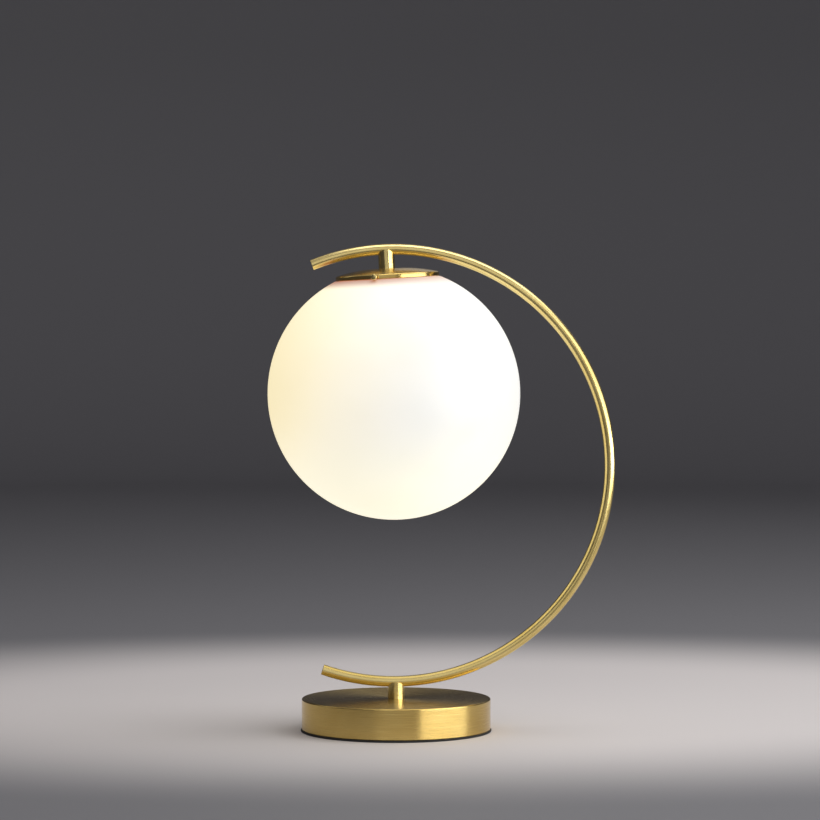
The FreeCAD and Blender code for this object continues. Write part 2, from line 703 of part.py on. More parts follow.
def make_glass_globe():
    """Ball with a short neck, whose groove takes the points of the screw and the studs."""
    inner = "glass_inner_radius"
    neck_foot = f"globe_level + sqrt({inner} ^ 2 - neck_inner_radius ^ 2)"
    outline = [
        ("0", "globe_level - globe_radius", "globe_radius", 1),
        ("shoulder_radius", "0 - rim_gap"),
        ("neck_radius", "0 - rim_gap"),
        ("neck_radius", "screw_level - groove_rise"),
        ("groove_radius", "screw_level"),
        ("neck_radius", "screw_level + groove_rise"),
        ("neck_radius", "neck_height"),
        ("neck_inner_radius", "neck_height"),
        ("neck_inner_radius", neck_foot, inner, -1),
        ("0", f"globe_level - {inner}"),
    ]
    return [turned("glass_globe", outline, hung())]


# ---------------------------------------------------------------- holder and bulb


def make_holder():
    """Lamp holder: dome with a threaded neck, tube, moulded insert and contacts."""
    slope_low = "holder_edge + holder_cap_skirt"
    neck_inner_end = "holder_neck_end - holder_wall / 2"
    dome = turned("holder_cap", [
        ("thread_radius", "holder_top"),
        ("thread_radius", neck_inner_end),
        ("holder_inner_radius", f"{slope_low} - holder_wall / 2"),
        ("holder_inner_radius", "holder_edge"),
        ("holder_radius", "holder_edge"),
        ("holder_radius", slope_low),
        ("holder_neck_radius", "holder_neck_end"),
        ("holder_neck_radius", "holder_top"),
    ], hung())
    insert = cylinder("holder_inner_radius - clearance_gap", "insert_thickness", hung("insert_bottom"))
    holes = []
    for side in ("0 - terminal_spacing / 2", "terminal_spacing / 2"):
        depth = "terminal_depth + hole_bottom_gap"
        holes.append(cylinder("way_radius", depth, f"{hung(f'insert_top - ({depth})')} * {spot(y=side)}"))
    return [
        dome,
        ring("holder_body", "holder_inner_radius", "holder_radius",
             "holder_body_end", "holder_edge", hung()),
        cut("holder_insert", insert, holes),
        ring("threaded_sleeve", "sleeve_radius", "sleeve_radius + sleeve_wall",
             "sleeve_end", "insert_bottom", hung()),
        ring_disc("centre_contact", "centre_contact_diameter / 2", "contact_bottom", "insert_bottom"),
    ]


def ring_disc(name, radius, low, high):
    """A plain disc on the leaning axis."""
    return turned(name, [("0", low), (radius, low), (radius, high), ("0", high)], hung())


def make_bulb():
    """Screw-in lamp: contacts, screw shell, body, light board and dome."""
    tip = ring_disc("bulb_tip", "bulb_tip_diameter / 2", "bulb_tip_end", "bulb_top")
    insulator = turned("bulb_insulator", [
        ("0", "bulb_shell_top"),
        ("bulb_plug_radius", "bulb_shell_top"),
        ("bulb_tip_diameter / 2", "bulb_tip_end"),
        ("0", "bulb_tip_end"),
    ], hung())
    shell = ring("bulb_screw_shell", "bulb_plug_radius", "bulb_shell_radius",
                 "bulb_shell_end", "bulb_shell_top", hung())
    plug = "bulb_plug_radius - thread_gap"
    body = turned("bulb_body", [
        ("0", "bulb_edge"),
        ("bulb_edge_radius", "bulb_edge"),
        ("bulb_edge_radius", "bulb_edge + bulb_collar"),
        ("bulb_shell_radius", "bulb_shell_end"),
        (plug, "bulb_shell_end"),
        (plug, "bulb_shell_end + bulb_plug_length"),
        ("0", "bulb_shell_end + bulb_plug_length"),
    ], hung())
    board = ring_disc("led_board", "led_board_diameter / 2", "bulb_edge - led_board_thickness",
                      "bulb_edge")
    dome = turned("bulb_dome", [
        ("0", "bulb_dome_level - bulb_radius", "bulb_radius", 1),
        ("bulb_edge_radius", "bulb_edge"),
        ("bulb_inner_edge", "bulb_edge", "bulb_inner_radius", -1),
        ("0", "bulb_dome_level - bulb_inner_radius"),
    ], hung())
    return [tip, insulator, shell, body, board, dome]


# ---------------------------------------------------------------- inner wires


def spread(start, forward, side, sway, shift):
    """Two opposite arcs that move a wire sideways by shift while it runs forward."""
    angle = math.acos(1 - shift / (2 * sway))

    def step(turn):
        return forward * sway * math.sin(turn) + side * sway * (1 - math.cos(turn))
    stop = start + step(angle) * 2
    first = Part.Arc(start, start + step(angle / 2), start + step(angle))
    second = Part.Arc(start + step(angle), stop - step(angle / 2), stop)
    return [first, second], stop


def wire_route(side):
    """Edges of one wire, from the terminal block through the arc to the holder."""
    radius = number("arc_radius")
    bend = number("wire_bend")
    sway = number("wire_sway")
    offset = side * number("wire_offset")
    lead = number("wire_spread_lead")
    level = number("wire_level")
    outward = Vector(0, side, 0)
    arc_centre = Vector(-number("arc_offset"), offset, number("arc_level"))

    way = side * number("way_spacing / 2")
    block_end = Vector(number("block_distance + way_depth - hole_bottom_gap"), way, level)
    spread_start = Vector(number("block_distance") - lead, way, level)
    narrowing, narrow_end = spread(spread_start, Vector(-1, 0, 0), -outward, sway,
                                   abs(way - offset))
    edges = [Part.LineSegment(block_end, spread_start)] + narrowing

    corner = Vector(bend, offset, level + bend)
    foot = Vector(bend, offset, level)
    rise = Vector(0, offset, level + bend)
    edges.append(Part.LineSegment(narrow_end, foot))
    edges.append(Part.Arc(foot, corner - Vector(1, 0, 1).normalize() * bend, rise))

    # The wire turns from the post into the arc, about a centre below the tube.
    drop = math.sqrt((radius + bend) ** 2 - (bend - arc_centre.x) ** 2)
    low_centre = Vector(bend, offset, arc_centre.z - drop)
    inward = (arc_centre - low_centre).normalize()
    low_start = Vector(0, offset, low_centre.z)
    low_end = low_centre + inward * bend
    edges.append(Part.LineSegment(rise, low_start))
    edges.append(Part.Arc(low_start, low_centre + (inward - Vector(1, 0, 0)).normalize() * bend, low_end))

    # At the top it turns down the leaning axis, about a centre inside the arc.
    lean = math.radians(number("lean_angle"))
    down = Vector(math.sin(lean), 0, -math.cos(lean))
    right = Vector(math.cos(lean), 0, math.sin(lean))
    joint = Vector(number("joint_x"), offset, number("joint_level"))
    reach = joint + right * bend - arc_centre
    along = down.dot(reach)
    fall = -along - math.sqrt(along ** 2 - reach.dot(reach) + (radius - bend) ** 2)
    high_centre = joint + right * bend + down * fall
    away = (high_centre - arc_centre).normalize()
    high_start = high_centre + away * bend
    high_end = joint + down * fall
    middle = ((low_end - arc_centre).normalize() + (high_start - arc_centre).normalize())
    if middle.Length < 0.1 or middle.x < 0:
        middle = Vector(1, 0, 0)
    edges.append(Part.Arc(low_end, arc_centre + middle.normalize() * radius, high_start))
    edges.append(Part.Arc(high_start, high_centre + (away - right).normalize() * bend, high_end))

    # In the holder the wires spread to the insert's two terminals.
    terminal = side * number("terminal_spacing / 2")
    shift = abs(terminal - offset)
    run = 2 * sway * math.sin(math.acos(1 - shift / (2 * sway)))
    insert_depth = number("rim_drop - insert_top")
    spread_top = joint + down * (insert_depth - lead - run)
    widening, wide_end = spread(spread_top, down, outward, sway, shift)
    edges.append(Part.LineSegment(high_end, spread_top))
    edges.extend(widening)
    edges.append(Part.LineSegment(wide_end, wide_end + down * (lead + number("terminal_depth"))))
    return [edge.toShape() for edge in edges]


def make_wires():
    """Live and neutral wire, each one unbroken tube."""
    wires = []
    for name, side in (("wire_live", 1), ("wire_neutral", -1)):
        path = Part.Wire(wire_route(side))
        first = path.Edges[0]
        start = first.valueAt(first.FirstParameter)
        heading = first.tangentAt(first.FirstParameter)
        radius = number("wire_diameter / 2")
        section = Part.Wire([Part.Circle(start, heading, radius).toShape()])
        tube = path.makePipeShell([section], True, False)
        ideal = math.pi * radius ** 2 * path.Length
        print(f"{name}: {path.Length:.1f} mm long, volume {tube.Volume:.1f} against {ideal:.1f}")
        wire = new("Part::Feature", name)
        wire.Shape = tube
        wire.Placement = FreeCAD.Placement()
        wires.append(wire)
    return wires


# ---------------------------------------------------------------- assembly

pieces = make_base_pad()
pieces[0].Label = "base_pad"
pieces += make_base_plate()
pieces += make_plate_screws()
pieces += make_base_shell()
pieces += make_base_weight()
pieces += make_base_fittings()
pieces += make_inlet_bushing()
pieces += make_terminal_block()
pieces += make_post()
pieces += make_arc_tube()
pieces += make_tube_caps()
pieces += make_stem()
pieces += make_fitter_cap()
pieces += make_cap_fittings()
pieces += make_thumb_screw()
pieces += make_studs()
pieces += make_glass_globe()
pieces += make_holder()
pieces += make_bulb()
pieces += make_wires()
doc.recompute()

for item in doc.Objects:
    if "Invalid" in item.State or "Error" in item.State:
        raise RuntimeError(f"{item.Label} failed: {item.State}")
for piece in pieces:
    if piece.Shape.isNull() or not piece.Shape.isValid() or piece.Shape.Volume <= 0:
        raise RuntimeError(f"{piece.Label} has no valid shape")

os.makedirs("parts", exist_ok=True)
for piece in pieces:
    piece.Shape.exportStep(f"parts/{piece.Label}.step")
    size = piece.Shape.BoundBox
    print(f"{piece.Label}: {len(piece.Shape.Solids)} solid, {piece.Shape.Volume:.0f} mm3, "
          f"x {size.XMin:.1f} {size.XMax:.1f}, y {size.YMin:.1f} {size.YMax:.1f}, "
          f"z {size.ZMin:.1f} {size.ZMax:.1f}")
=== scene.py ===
"""Looks of the globe table lamp: a lit opal ball in a satin brass arc on a drum base.

Metres, in the part's own frame: +Z up, +X to the closed side of the arc, -Y to the front.
"""

import math

import bmesh
import bpy
from mathutils import Matrix, Vector


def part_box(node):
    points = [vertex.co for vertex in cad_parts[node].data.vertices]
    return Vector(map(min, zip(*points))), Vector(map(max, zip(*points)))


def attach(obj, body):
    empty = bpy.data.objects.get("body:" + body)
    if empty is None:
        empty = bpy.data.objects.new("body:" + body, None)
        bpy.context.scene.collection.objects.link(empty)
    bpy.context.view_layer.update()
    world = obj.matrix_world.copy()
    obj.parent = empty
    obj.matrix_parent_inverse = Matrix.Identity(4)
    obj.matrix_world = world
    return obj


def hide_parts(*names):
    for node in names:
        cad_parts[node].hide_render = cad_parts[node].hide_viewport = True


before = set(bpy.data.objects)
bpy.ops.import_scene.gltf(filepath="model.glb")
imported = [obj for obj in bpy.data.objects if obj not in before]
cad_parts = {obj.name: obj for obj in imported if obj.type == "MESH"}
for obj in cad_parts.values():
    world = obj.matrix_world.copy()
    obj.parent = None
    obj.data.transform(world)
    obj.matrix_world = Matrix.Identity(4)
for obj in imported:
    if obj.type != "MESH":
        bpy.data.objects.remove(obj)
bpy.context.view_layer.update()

MM = 0.001
WELD = 0.001 * MM

# ---------------------------------------------------------------- shader tools


class Value:
    """A socket in a finish's tree; sums and products on it add Math nodes."""

    def __init__(self, finish, socket):
        self.finish = finish
        self.socket = socket

    def math(self, operation, *others):
        inputs = dict(enumerate((self, *others)))
        return self.finish.node("ShaderNodeMath", {"operation": operation}, inputs)

    def __add__(self, other):
        return self.math("ADD", other)

    def __sub__(self, other):
        return self.math("SUBTRACT", other)

    def __rsub__(self, other):
        return (self * -1) + other

    def __mul__(self, other):
        return self.math("MULTIPLY", other)

    def __truediv__(self, other):
        return self.math("DIVIDE", other)

    def __pow__(self, other):
        return self.math("POWER", other)

    __radd__ = __add__
    __rmul__ = __mul__

    def ramp(self, low, high, start=0.0, stop=1.0):
        """start at low and stop at high, held past them, with a smooth step between."""
        settings = {"interpolation_type": "SMOOTHSTEP", "clamp": True}
        limits = {"From Min": low, "From Max": high, "To Min": start, "To Max": stop}
        return self.finish.node("ShaderNodeMapRange", settings, {"Value": self, **limits})


class Finish:
    """A material under construction."""

    def __init__(self, name):
        self.material = bpy.data.materials.new(name)
        self.material.use_nodes = True
        self.tree = self.material.node_tree
        self.tree.nodes.clear()

    def node(self, kind, settings=None, inputs=None, output=0):
        """Add a node; the settings come first, then the values or links of its sockets."""
        node = self.tree.nodes.new(kind)
        for key, value in (settings or {}).items():
            setattr(node, key, value)
        for key, value in (inputs or {}).items():
            if isinstance(value, Value):
                self.tree.links.new(value.socket, node.inputs[key])
            else:
                node.inputs[key].default_value = value
        return Value(self, node.outputs[output]) if len(node.outputs) else None

    def place(self, centre=(0, 0, 0), lean=0.0):
        """Object coordinates about a centre, turned back by a lean about Y."""
        coordinates = self.node("ShaderNodeTexCoord", output="Object")
        inputs = {"Vector": coordinates, "Location": centre, "Rotation": (0, lean, 0)}
        return self.node("ShaderNodeMapping", {"vector_type": "TEXTURE"}, inputs)

    def parts(self, vector):
        """The three numbers of a vector."""
        split = self.node("ShaderNodeSeparateXYZ", inputs={"Vector": vector})
        outputs = split.socket.node.outputs
        return [Value(self, outputs[axis]) for axis in "XYZ"]

    def vector(self, x, y, z):
        return self.node("ShaderNodeCombineXYZ", inputs={"X": x, "Y": y, "Z": z})

    def noise(self, vector, scale, detail=2.0, roughness=0.5):
        inputs = {"Vector": vector, "Scale": scale, "Detail": detail, "Roughness": roughness}
        return self.node("ShaderNodeTexNoise", inputs=inputs)

    def mix(self, factor, first, second):
        """A colour between two colours, by the Mix node's factor and colour sockets."""
        inputs = {0: factor, 6: first, 7: second}
        return self.node("ShaderNodeMix", {"data_type": "RGBA"}, inputs, output=2)

    def bump(self, height, depth, strength=1.0):
        """Normals for a relief of the given depth in metres."""
        inputs = {"Height": height, "Distance": depth, "Strength": strength}
        return self.node("ShaderNodeBump", inputs=inputs)

    def surface(self, **inputs):
        """Close the tree with a Principled shader; underscores stand for spaces."""
        named = {key.replace("_", " "): value for key, value in inputs.items()}
        shader = self.node("ShaderNodeBsdfPrincipled", inputs=named)
        self.node("ShaderNodeOutputMaterial", inputs={"Surface": shader})
        return self.material


def rgb(red, green, blue):
    """A colour from 0-255 display values, as the shader's linear colour."""
    def linear(value):
        share = value / 255
        return share / 12.92 if share <= 0.04045 else ((share + 0.055) / 1.055) ** 2.4
    return (linear(red), linear(green), linear(blue), 1.0)


def darker(colour, share):
    """A colour with its channels scaled down to a share of them."""
    return tuple(channel * share for channel in colour[:3]) + (1.0,)


# ---------------------------------------------------------------- sizes


def corners(node):
    """Lowest and highest corner of a CAD node's box."""
    low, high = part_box(node)
    return Vector(low), Vector(high)


def middle(node):
    low, high = corners(node)
    return (low + high) / 2


def extent(node):
    low, high = corners(node)
    return high - low


shell_low, shell_high = corners("base_shell")
BASE_RADIUS = (shell_high.x - shell_low.x) / 2
BASE_FOOT = shell_low.z
BASE_TOP = shell_high.z

arc_low, arc_high = corners("arc_tube")
TUBE_RADIUS = (arc_high.y - arc_low.y) / 2
TUBE_WALL = 1.0 * MM
ARC_RADIUS = (arc_high.z - arc_low.z) / 2 - TUBE_RADIUS
ARC_CENTRE = Vector((arc_high.x - TUBE_RADIUS - ARC_RADIUS, 0, (arc_high.z + arc_low.z) / 2))
PLUG_FACE = 1.2 * MM
LOWER_END = math.radians(-109.2)
UPPER_END = math.radians(112.1)
JOINT_ANGLE = math.radians(92)

LEAN = math.radians(3.2)
STEM_LENGTH = 15.2 * MM
CAP_HEIGHT = 7.8 * MM
CAP_RADIUS = extent("fitter_cap").y / 2
HOLDING_LEVEL = 1.7 * MM


def arc_point(turn):
    """The point of the arc's centreline at an angle from +X."""
    return ARC_CENTRE + Vector((math.cos(turn), 0, math.sin(turn))) * ARC_RADIUS


def hanging(drop):
    """A place on the leaning axis, a distance below the arc's centreline."""
    lean = Matrix.Rotation(-LEAN, 4, "Y")
    joint = Matrix.Translation(arc_point(JOINT_ANGLE))
    return joint @ lean @ Matrix.Translation((0, 0, -drop))


RIM = hanging(STEM_LENGTH + CAP_HEIGHT)

GLOBE_RADIUS = extent("glass_globe").y / 2
SHOULDER_RADIUS = 41.7 * MM
SHOULDER_LEVEL = -0.3 * MM
GLOBE_LEVEL = SHOULDER_LEVEL - math.sqrt(GLOBE_RADIUS ** 2 - SHOULDER_RADIUS ** 2)
GLOBE_CENTRE = RIM @ Vector((0, 0, GLOBE_LEVEL))


# ---------------------------------------------------------------- finishes


# Most values of a noise texture lie in this span.
GRIT_SPAN = (0.3, 0.7)

# Turns the stretched highlight across the turning lines, as a share of a full turn.
QUARTER_TURN = 0.25

# Dark and light of the brushing, and the tarnish over both.
PALE_BRASS = (rgb(225, 200, 126), rgb(240, 219, 153), rgb(216, 187, 106))
# The same brass painted darker for the drum and the cap: a painted shade for how dark they look.
SHADE_DARKENED_BRASS = (rgb(204, 173, 100), rgb(224, 197, 125), rgb(192, 158, 84))


def brass(name, grain, roughness, relief=2.0e-6, anisotropic=0.0, turn=0.0, tones=PALE_BRASS):
    """Satin brass. grain draws the brushing on the finish and returns its value."""
    finish = Finish(name)
    lines = grain(finish)
    cloud = finish.noise(finish.place(), scale=35.0)
    dark, light, tarnish = tones
    tone = finish.mix(lines.ramp(0.25, 0.75), dark, light)
    tone = finish.mix(cloud.ramp(0.35, 0.7, 0.0, 0.35), tone, tarnish)
    worn = lines.ramp(0.2, 0.8, roughness - 0.05, roughness + 0.06)
    return finish.surface(
        Base_Color=tone,
        Metallic=1.0,
        Roughness=worn,
        Anisotropic=anisotropic,
        Anisotropic_Rotation=turn,
        Normal=finish.bump(lines, relief),
    )


# Cells of a grain's noise in one radian round the axis: few, so the lines are long.
CELLS_ROUND = 1.5


def turned_grain(centre=(0, 0, 0), lean=0.0, pitch=0.25 * MM):
    """Rings round an upright axis: lines by height on a side, by radius on a face."""
    def draw(finish):
        x, y, z = finish.parts(finish.place(centre, lean))
        radius = (x * x + y * y) ** 0.5
        angle = y.math("ARCTAN2", x)
        spread = finish.vector(radius / pitch, z / pitch, angle * CELLS_ROUND)
        return finish.noise(spread, scale=1.0, detail=3.0, roughness=0.6)
    return draw


def tube_grain(pitch=1.3 * MM):
    """Fine lines that run along the bent tube."""
    def draw(finish):
        x, y, z = finish.parts(finish.place(ARC_CENTRE))
        radius = (x * x + z * z) ** 0.5
        angle = z.math("ARCTAN2", x)
        spread = finish.vector(radius / pitch, y / pitch, angle * CELLS_ROUND)
        return finish.noise(spread, scale=1.0)
    return draw


def upright_grain(node, lean=0.0, pitch=0.3 * MM):
    """Fine turning lines on a small post."""
    return turned_grain(middle(node), lean, pitch)


def opal_glass():
    """Lit opal glass: a near-white glow with painted shade, warmer to the left and below, turned
    down on the right where the lamps light it, and a painted shadow under the cap.

    side runs from -1 at the ball's left to 1 at its right, height from its foot to its top.
    """
    finish = Finish("opal_glass_lit")
    x, _, z = finish.parts(finish.place(GLOBE_CENTRE, -LEAN))
    side = (x - z * 0.3) / GLOBE_RADIUS
    height = z / GLOBE_RADIUS
    # Painted shade: the glow turns warmer towards the ball's left.
    painted_shade_left = side.ramp(-1.1, -0.35)
    # Painted shade: the glow is turned down to grey on the right, where the lamps light the
    # ball.
    right = side.ramp(-0.75, 0.45)
    # Painted shade: the glow turns warmer towards the ball's foot.
    low = height.ramp(-0.05, -0.9, 0.0, 0.8)
    # Painted shadow of the cap: a dark brown band of glow just under its rim, strongest on the
    # left.
    painted_shade_under_cap = height.ramp(0.84, 0.905) * side.ramp(-0.25, 0.6, 1.0, 0.35)
    glow = finish.mix(painted_shade_left, rgb(238, 223, 177), rgb(238, 229, 203))
    glow = finish.mix(right, glow, rgb(194, 195, 194))
    glow = finish.mix(low, glow, rgb(238, 233, 206))
    # The brown of the painted shadow under the cap.
    glow = finish.mix(painted_shade_under_cap, glow, rgb(150, 80, 40))
    mottle = finish.noise(finish.place(), scale=18.0)
    tone = finish.mix(mottle.ramp(*GRIT_SPAN), rgb(174, 171, 164), rgb(182, 179, 173))
    return finish.surface(
        Base_Color=tone,
        Roughness=mottle.ramp(*GRIT_SPAN, 0.42, 0.5),
        IOR=1.5,
        Emission_Color=glow,
        Emission_Strength=1.0,
    )


def foam():
    """Black foam with an open grit."""
    finish = Finish("black_foam_pad")
    grit = finish.noise(finish.place(), scale=2600.0, detail=3.0)
    return finish.surface(
        Base_Color=finish.mix(grit.ramp(0.35, 0.7), rgb(22, 21, 20), rgb(44, 42, 40)),
        Roughness=0.9,
        Normal=finish.bump(grit, depth=0.08 * MM, strength=0.6),
    )


def plated_steel(name, colour, roughness):
    """Plated or rolled sheet with a fine spangle."""
    finish = Finish(name)
    spangle = finish.noise(finish.place(), scale=1400.0)
    return finish.surface(
        Base_Color=finish.mix(spangle.ramp(*GRIT_SPAN), darker(colour, 0.88), colour),
        Metallic=1.0,
        Roughness=spangle.ramp(*GRIT_SPAN, roughness - 0.05, roughness + 0.08),
    )


def cast_iron():
    """Dark casting with fine pits."""
    finish = Finish("cast_iron_weight")
    pits = finish.noise(finish.place(), scale=900.0, detail=4.0, roughness=0.6)
    return finish.surface(
        Base_Color=finish.mix(pits.ramp(*GRIT_SPAN), rgb(48, 47, 46), rgb(78, 76, 74)),
        Metallic=0.7,
        Roughness=pits.ramp(*GRIT_SPAN, 0.55, 0.75),
        Normal=finish.bump(pits, depth=0.15 * MM, strength=0.7),
    )


def moulded(name, colour, roughness):
    """Moulded plastic, glass or insulation with a fine surface."""
    finish = Finish(name)
    grit = finish.noise(finish.place(), scale=1500.0)
    return finish.surface(
        Base_Color=finish.mix(grit.ramp(*GRIT_SPAN), darker(colour, 0.85), colour),
        Roughness=grit.ramp(*GRIT_SPAN, roughness - 0.04, roughness + 0.06),
        Normal=finish.bump(grit, depth=0.01 * MM, strength=0.5),
    )


# The drum and the cap wear the darker brass, a painted shade.
DRUM_BRASS = brass("brushed_brass_drum", turned_grain(),
                   roughness=0.24, relief=1.6e-6, anisotropic=0.7, turn=QUARTER_TURN,
                   tones=SHADE_DARKENED_BRASS)
CAP_BRASS = brass("brushed_brass_cap", turned_grain(RIM.translation, -LEAN),
                  roughness=0.22, relief=1.5e-6, anisotropic=0.5, turn=QUARTER_TURN,
                  tones=SHADE_DARKENED_BRASS)
TUBE_BRASS = brass("satin_brass_tube", tube_grain(), roughness=0.27, relief=0.3e-6)
POST_BRASS = brass("satin_brass_post", upright_grain("post"),
                   roughness=0.3, relief=1.0e-6, anisotropic=0.3, turn=QUARTER_TURN)
STEM_BRASS = brass("satin_brass_stem", upright_grain("stem", -LEAN),
                   roughness=0.22, relief=1.0e-6, anisotropic=0.5, turn=QUARTER_TURN)
SCREW_BRASS = brass("turned_brass_screw", turned_grain(RIM.translation, -LEAN, 0.4 * MM),
                    roughness=0.2)
OPAL = opal_glass()
FOAM = foam()
STEEL = plated_steel("zinc_steel", rgb(196, 196, 192), 0.32)
THIN_METAL = plated_steel("rolled_aluminium", rgb(214, 214, 212), 0.25)
IRON = cast_iron()
NYLON = moulded("natural_nylon", rgb(236, 232, 218), 0.45)
BLACK_PLASTIC = moulded("black_moulding", rgb(26, 26, 27), 0.3)
PALE_PLASTIC = moulded("pale_thermoset", rgb(226, 221, 208), 0.5)
WHITE_PLASTIC = moulded("white_moulding", rgb(232, 231, 227), 0.35)
FROSTED = moulded("frosted_dome", rgb(240, 238, 230), 0.5)
DARK_GLASS = moulded("dark_glass_ring", rgb(34, 32, 40), 0.12)
BOARD = moulded("coated_board", rgb(230, 230, 226), 0.5)
BROWN_WIRE = moulded("brown_insulation", rgb(92, 52, 30), 0.45)
BLUE_WIRE = moulded("blue_insulation", rgb(46, 84, 150), 0.45)

# Solids that are shown as they are, with the finish of each.
SOLID_FINISHES = {
    "base_plate": STEEL,
    "plate_screws": STEEL,
    "nipple_washer": STEEL,
    "nipple_nut": STEEL,
    "base_nipple": STEEL,
    "block_screw": STEEL,
    "cap_washer": STEEL,
    "cap_nut": STEEL,
    "top_nipple": STEEL,
    "centre_contact": STEEL,
    "bulb_tip": STEEL,
    "base_weight": IRON,
    "terminal_block": NYLON,
    "screw_tip": NYLON,
    "stud_1": CAP_BRASS,
    "stud_2": CAP_BRASS,
    "holder_cap": BLACK_PLASTIC,
    "holder_body": BLACK_PLASTIC,
    "holder_insert": PALE_PLASTIC,
    "threaded_sleeve": THIN_METAL,
    "bulb_screw_shell": THIN_METAL,
    "bulb_insulator": DARK_GLASS,
    "bulb_body": WHITE_PLASTIC,
    "led_board": BOARD,
    "bulb_dome": FROSTED,
    "wire_live": BROWN_WIRE,
    "wire_neutral": BLUE_WIRE,
}


def dress(node, material):
    """Give a CAD node's object one material."""
    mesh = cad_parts[node].data
    mesh.materials.clear()
    mesh.materials.append(material)


for solid_name, solid_finish in SOLID_FINISHES.items():
    dress(solid_name, solid_finish)


# ---------------------------------------------------------------- mesh tools


def bow(centre, radius, start, stop, steps):
    """Points of an arc in an outline, from start to stop degrees."""
    across, up = centre
    turns = [math.radians(start + (stop - start) * step / steps) for step in range(steps + 1)]
    return [(across + radius * math.cos(turn), up + radius * math.sin(turn)) for turn in turns]


def spun(outline, steps, place=Matrix(), closed=True):
    """A bmesh from an outline of (radius, height) turned about Z.

    An outline that isn't closed starts and ends on the axis, or is an open shell.
    """
    mesh = bmesh.new()
    points = [mesh.verts.new((radius, 0, height)) for radius, height in outline]
    pairs = list(zip(points, points[1:]))
    if closed:
        pairs.append((points[-1], points[0]))
    edges = [mesh.edges.new(pair) for pair in pairs]
    bmesh.ops.spin(mesh, geom=points + edges, axis=(0, 0, 1), angle=math.tau,
                   steps=steps, use_merge=True)
    bmesh.ops.remove_doubles(mesh, verts=mesh.verts, dist=WELD)
    bmesh.ops.recalc_face_normals(mesh, faces=mesh.faces)
    mesh.transform(place)
    return mesh


def smooth_object(name, mesh):
    """Make the bmesh an object with smooth faces."""
    data = bpy.data.meshes.new(name)
    mesh.to_mesh(data)
    mesh.free()
    data.polygons.foreach_set("use_smooth", [True] * len(data.polygons))
    made = bpy.data.objects.new(name, data)
    bpy.context.scene.collection.objects.link(made)
    return made


def add_piece(mesh, name, body, material, nodes, crease=32.0):
    """Make the bmesh an object that rides on a body and stands for CAD nodes.

    Edges sharper than crease degrees stay sharp.
    """
    piece = smooth_object(name, mesh)
    piece.data.set_sharp_from_angle(angle=math.radians(crease))
    piece.data.materials.append(material)
    weighted = piece.modifiers.new("weighted", "WEIGHTED_NORMAL")
    weighted.keep_sharp = True
    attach(piece, body)
    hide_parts(*nodes)


def merged_copy(node):
    """A clean mesh of a CAD node, its loose triangles joined."""
    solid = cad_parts[node]
    mesh = bmesh.new()
    mesh.from_mesh(solid.data)
    mesh.transform(solid.matrix_world)
    bmesh.ops.remove_doubles(mesh, verts=mesh.verts, dist=WELD)
    flat_angle = math.radians(0.5)
    bmesh.ops.dissolve_limit(mesh, angle_limit=flat_angle, verts=mesh.verts, edges=mesh.edges)
    return mesh


# ---------------------------------------------------------------- base


def make_pad():
    """Foam disc with a round edge."""
    low, high = corners("base_pad")
    radius = (high.x - low.x) / 2
    half = (high.z - low.z) / 2
    edge = bow((radius - half, low.z + half), half, -90, 90, 6)
    mesh = spun([(0, low.z)] + edge + [(0, high.z)], 160, closed=False)
    add_piece(mesh, "foam_pad", "lamp", FOAM, ["base_pad"])


def make_drum():
    """Drum of the base, with a rounded top edge and a bevelled foot."""
    wall = 1.2 * MM
    rounding = 1.0 * MM
    bevel = 0.6 * MM
    hole = 5.2 * MM
    inner = BASE_RADIUS - wall
    outline = [
        (inner, BASE_FOOT),
        (BASE_RADIUS - bevel, BASE_FOOT),
        (BASE_RADIUS, BASE_FOOT + bevel),
    ]
    outline += bow((BASE_RADIUS - rounding, BASE_TOP - rounding), rounding, 0, 90, 6)
    outline += [(hole, BASE_TOP), (hole, BASE_TOP - wall), (inner, BASE_TOP - wall)]
    add_piece(spun(outline, 256), "base_drum", "lamp", DRUM_BRASS, ["base_shell"])


def make_bushing():
    """Cord bushing in the back wall, with a rounded lip."""
    low, high = corners("inlet_bushing")
    flange = (high.x - low.x) / 2
    depth = high.y - low.y
    bore = 3.0 * MM
    outside = 4.3 * MM
    plate = 1.5 * MM
    lip = 0.5 * MM
    outline = [(bore, 0), (outside, 0), (outside, depth - plate), (flange, depth - plate)]
    outline += bow((flange - lip, depth - lip), lip, 0, 90, 4)
    outline += bow((bore + lip, depth - lip), lip, 90, 180, 4)
    inner_end = Matrix.Translation((0, low.y, (low.z + high.z) / 2))
    backwards = Matrix.Rotation(math.radians(-90), 4, "X")
    mesh = spun(outline, 64, inner_end @ backwards)
    add_piece(mesh, "cord_bushing", "lamp", POST_BRASS, ["inlet_bushing"])


# ---------------------------------------------------------------- arc, post and stem


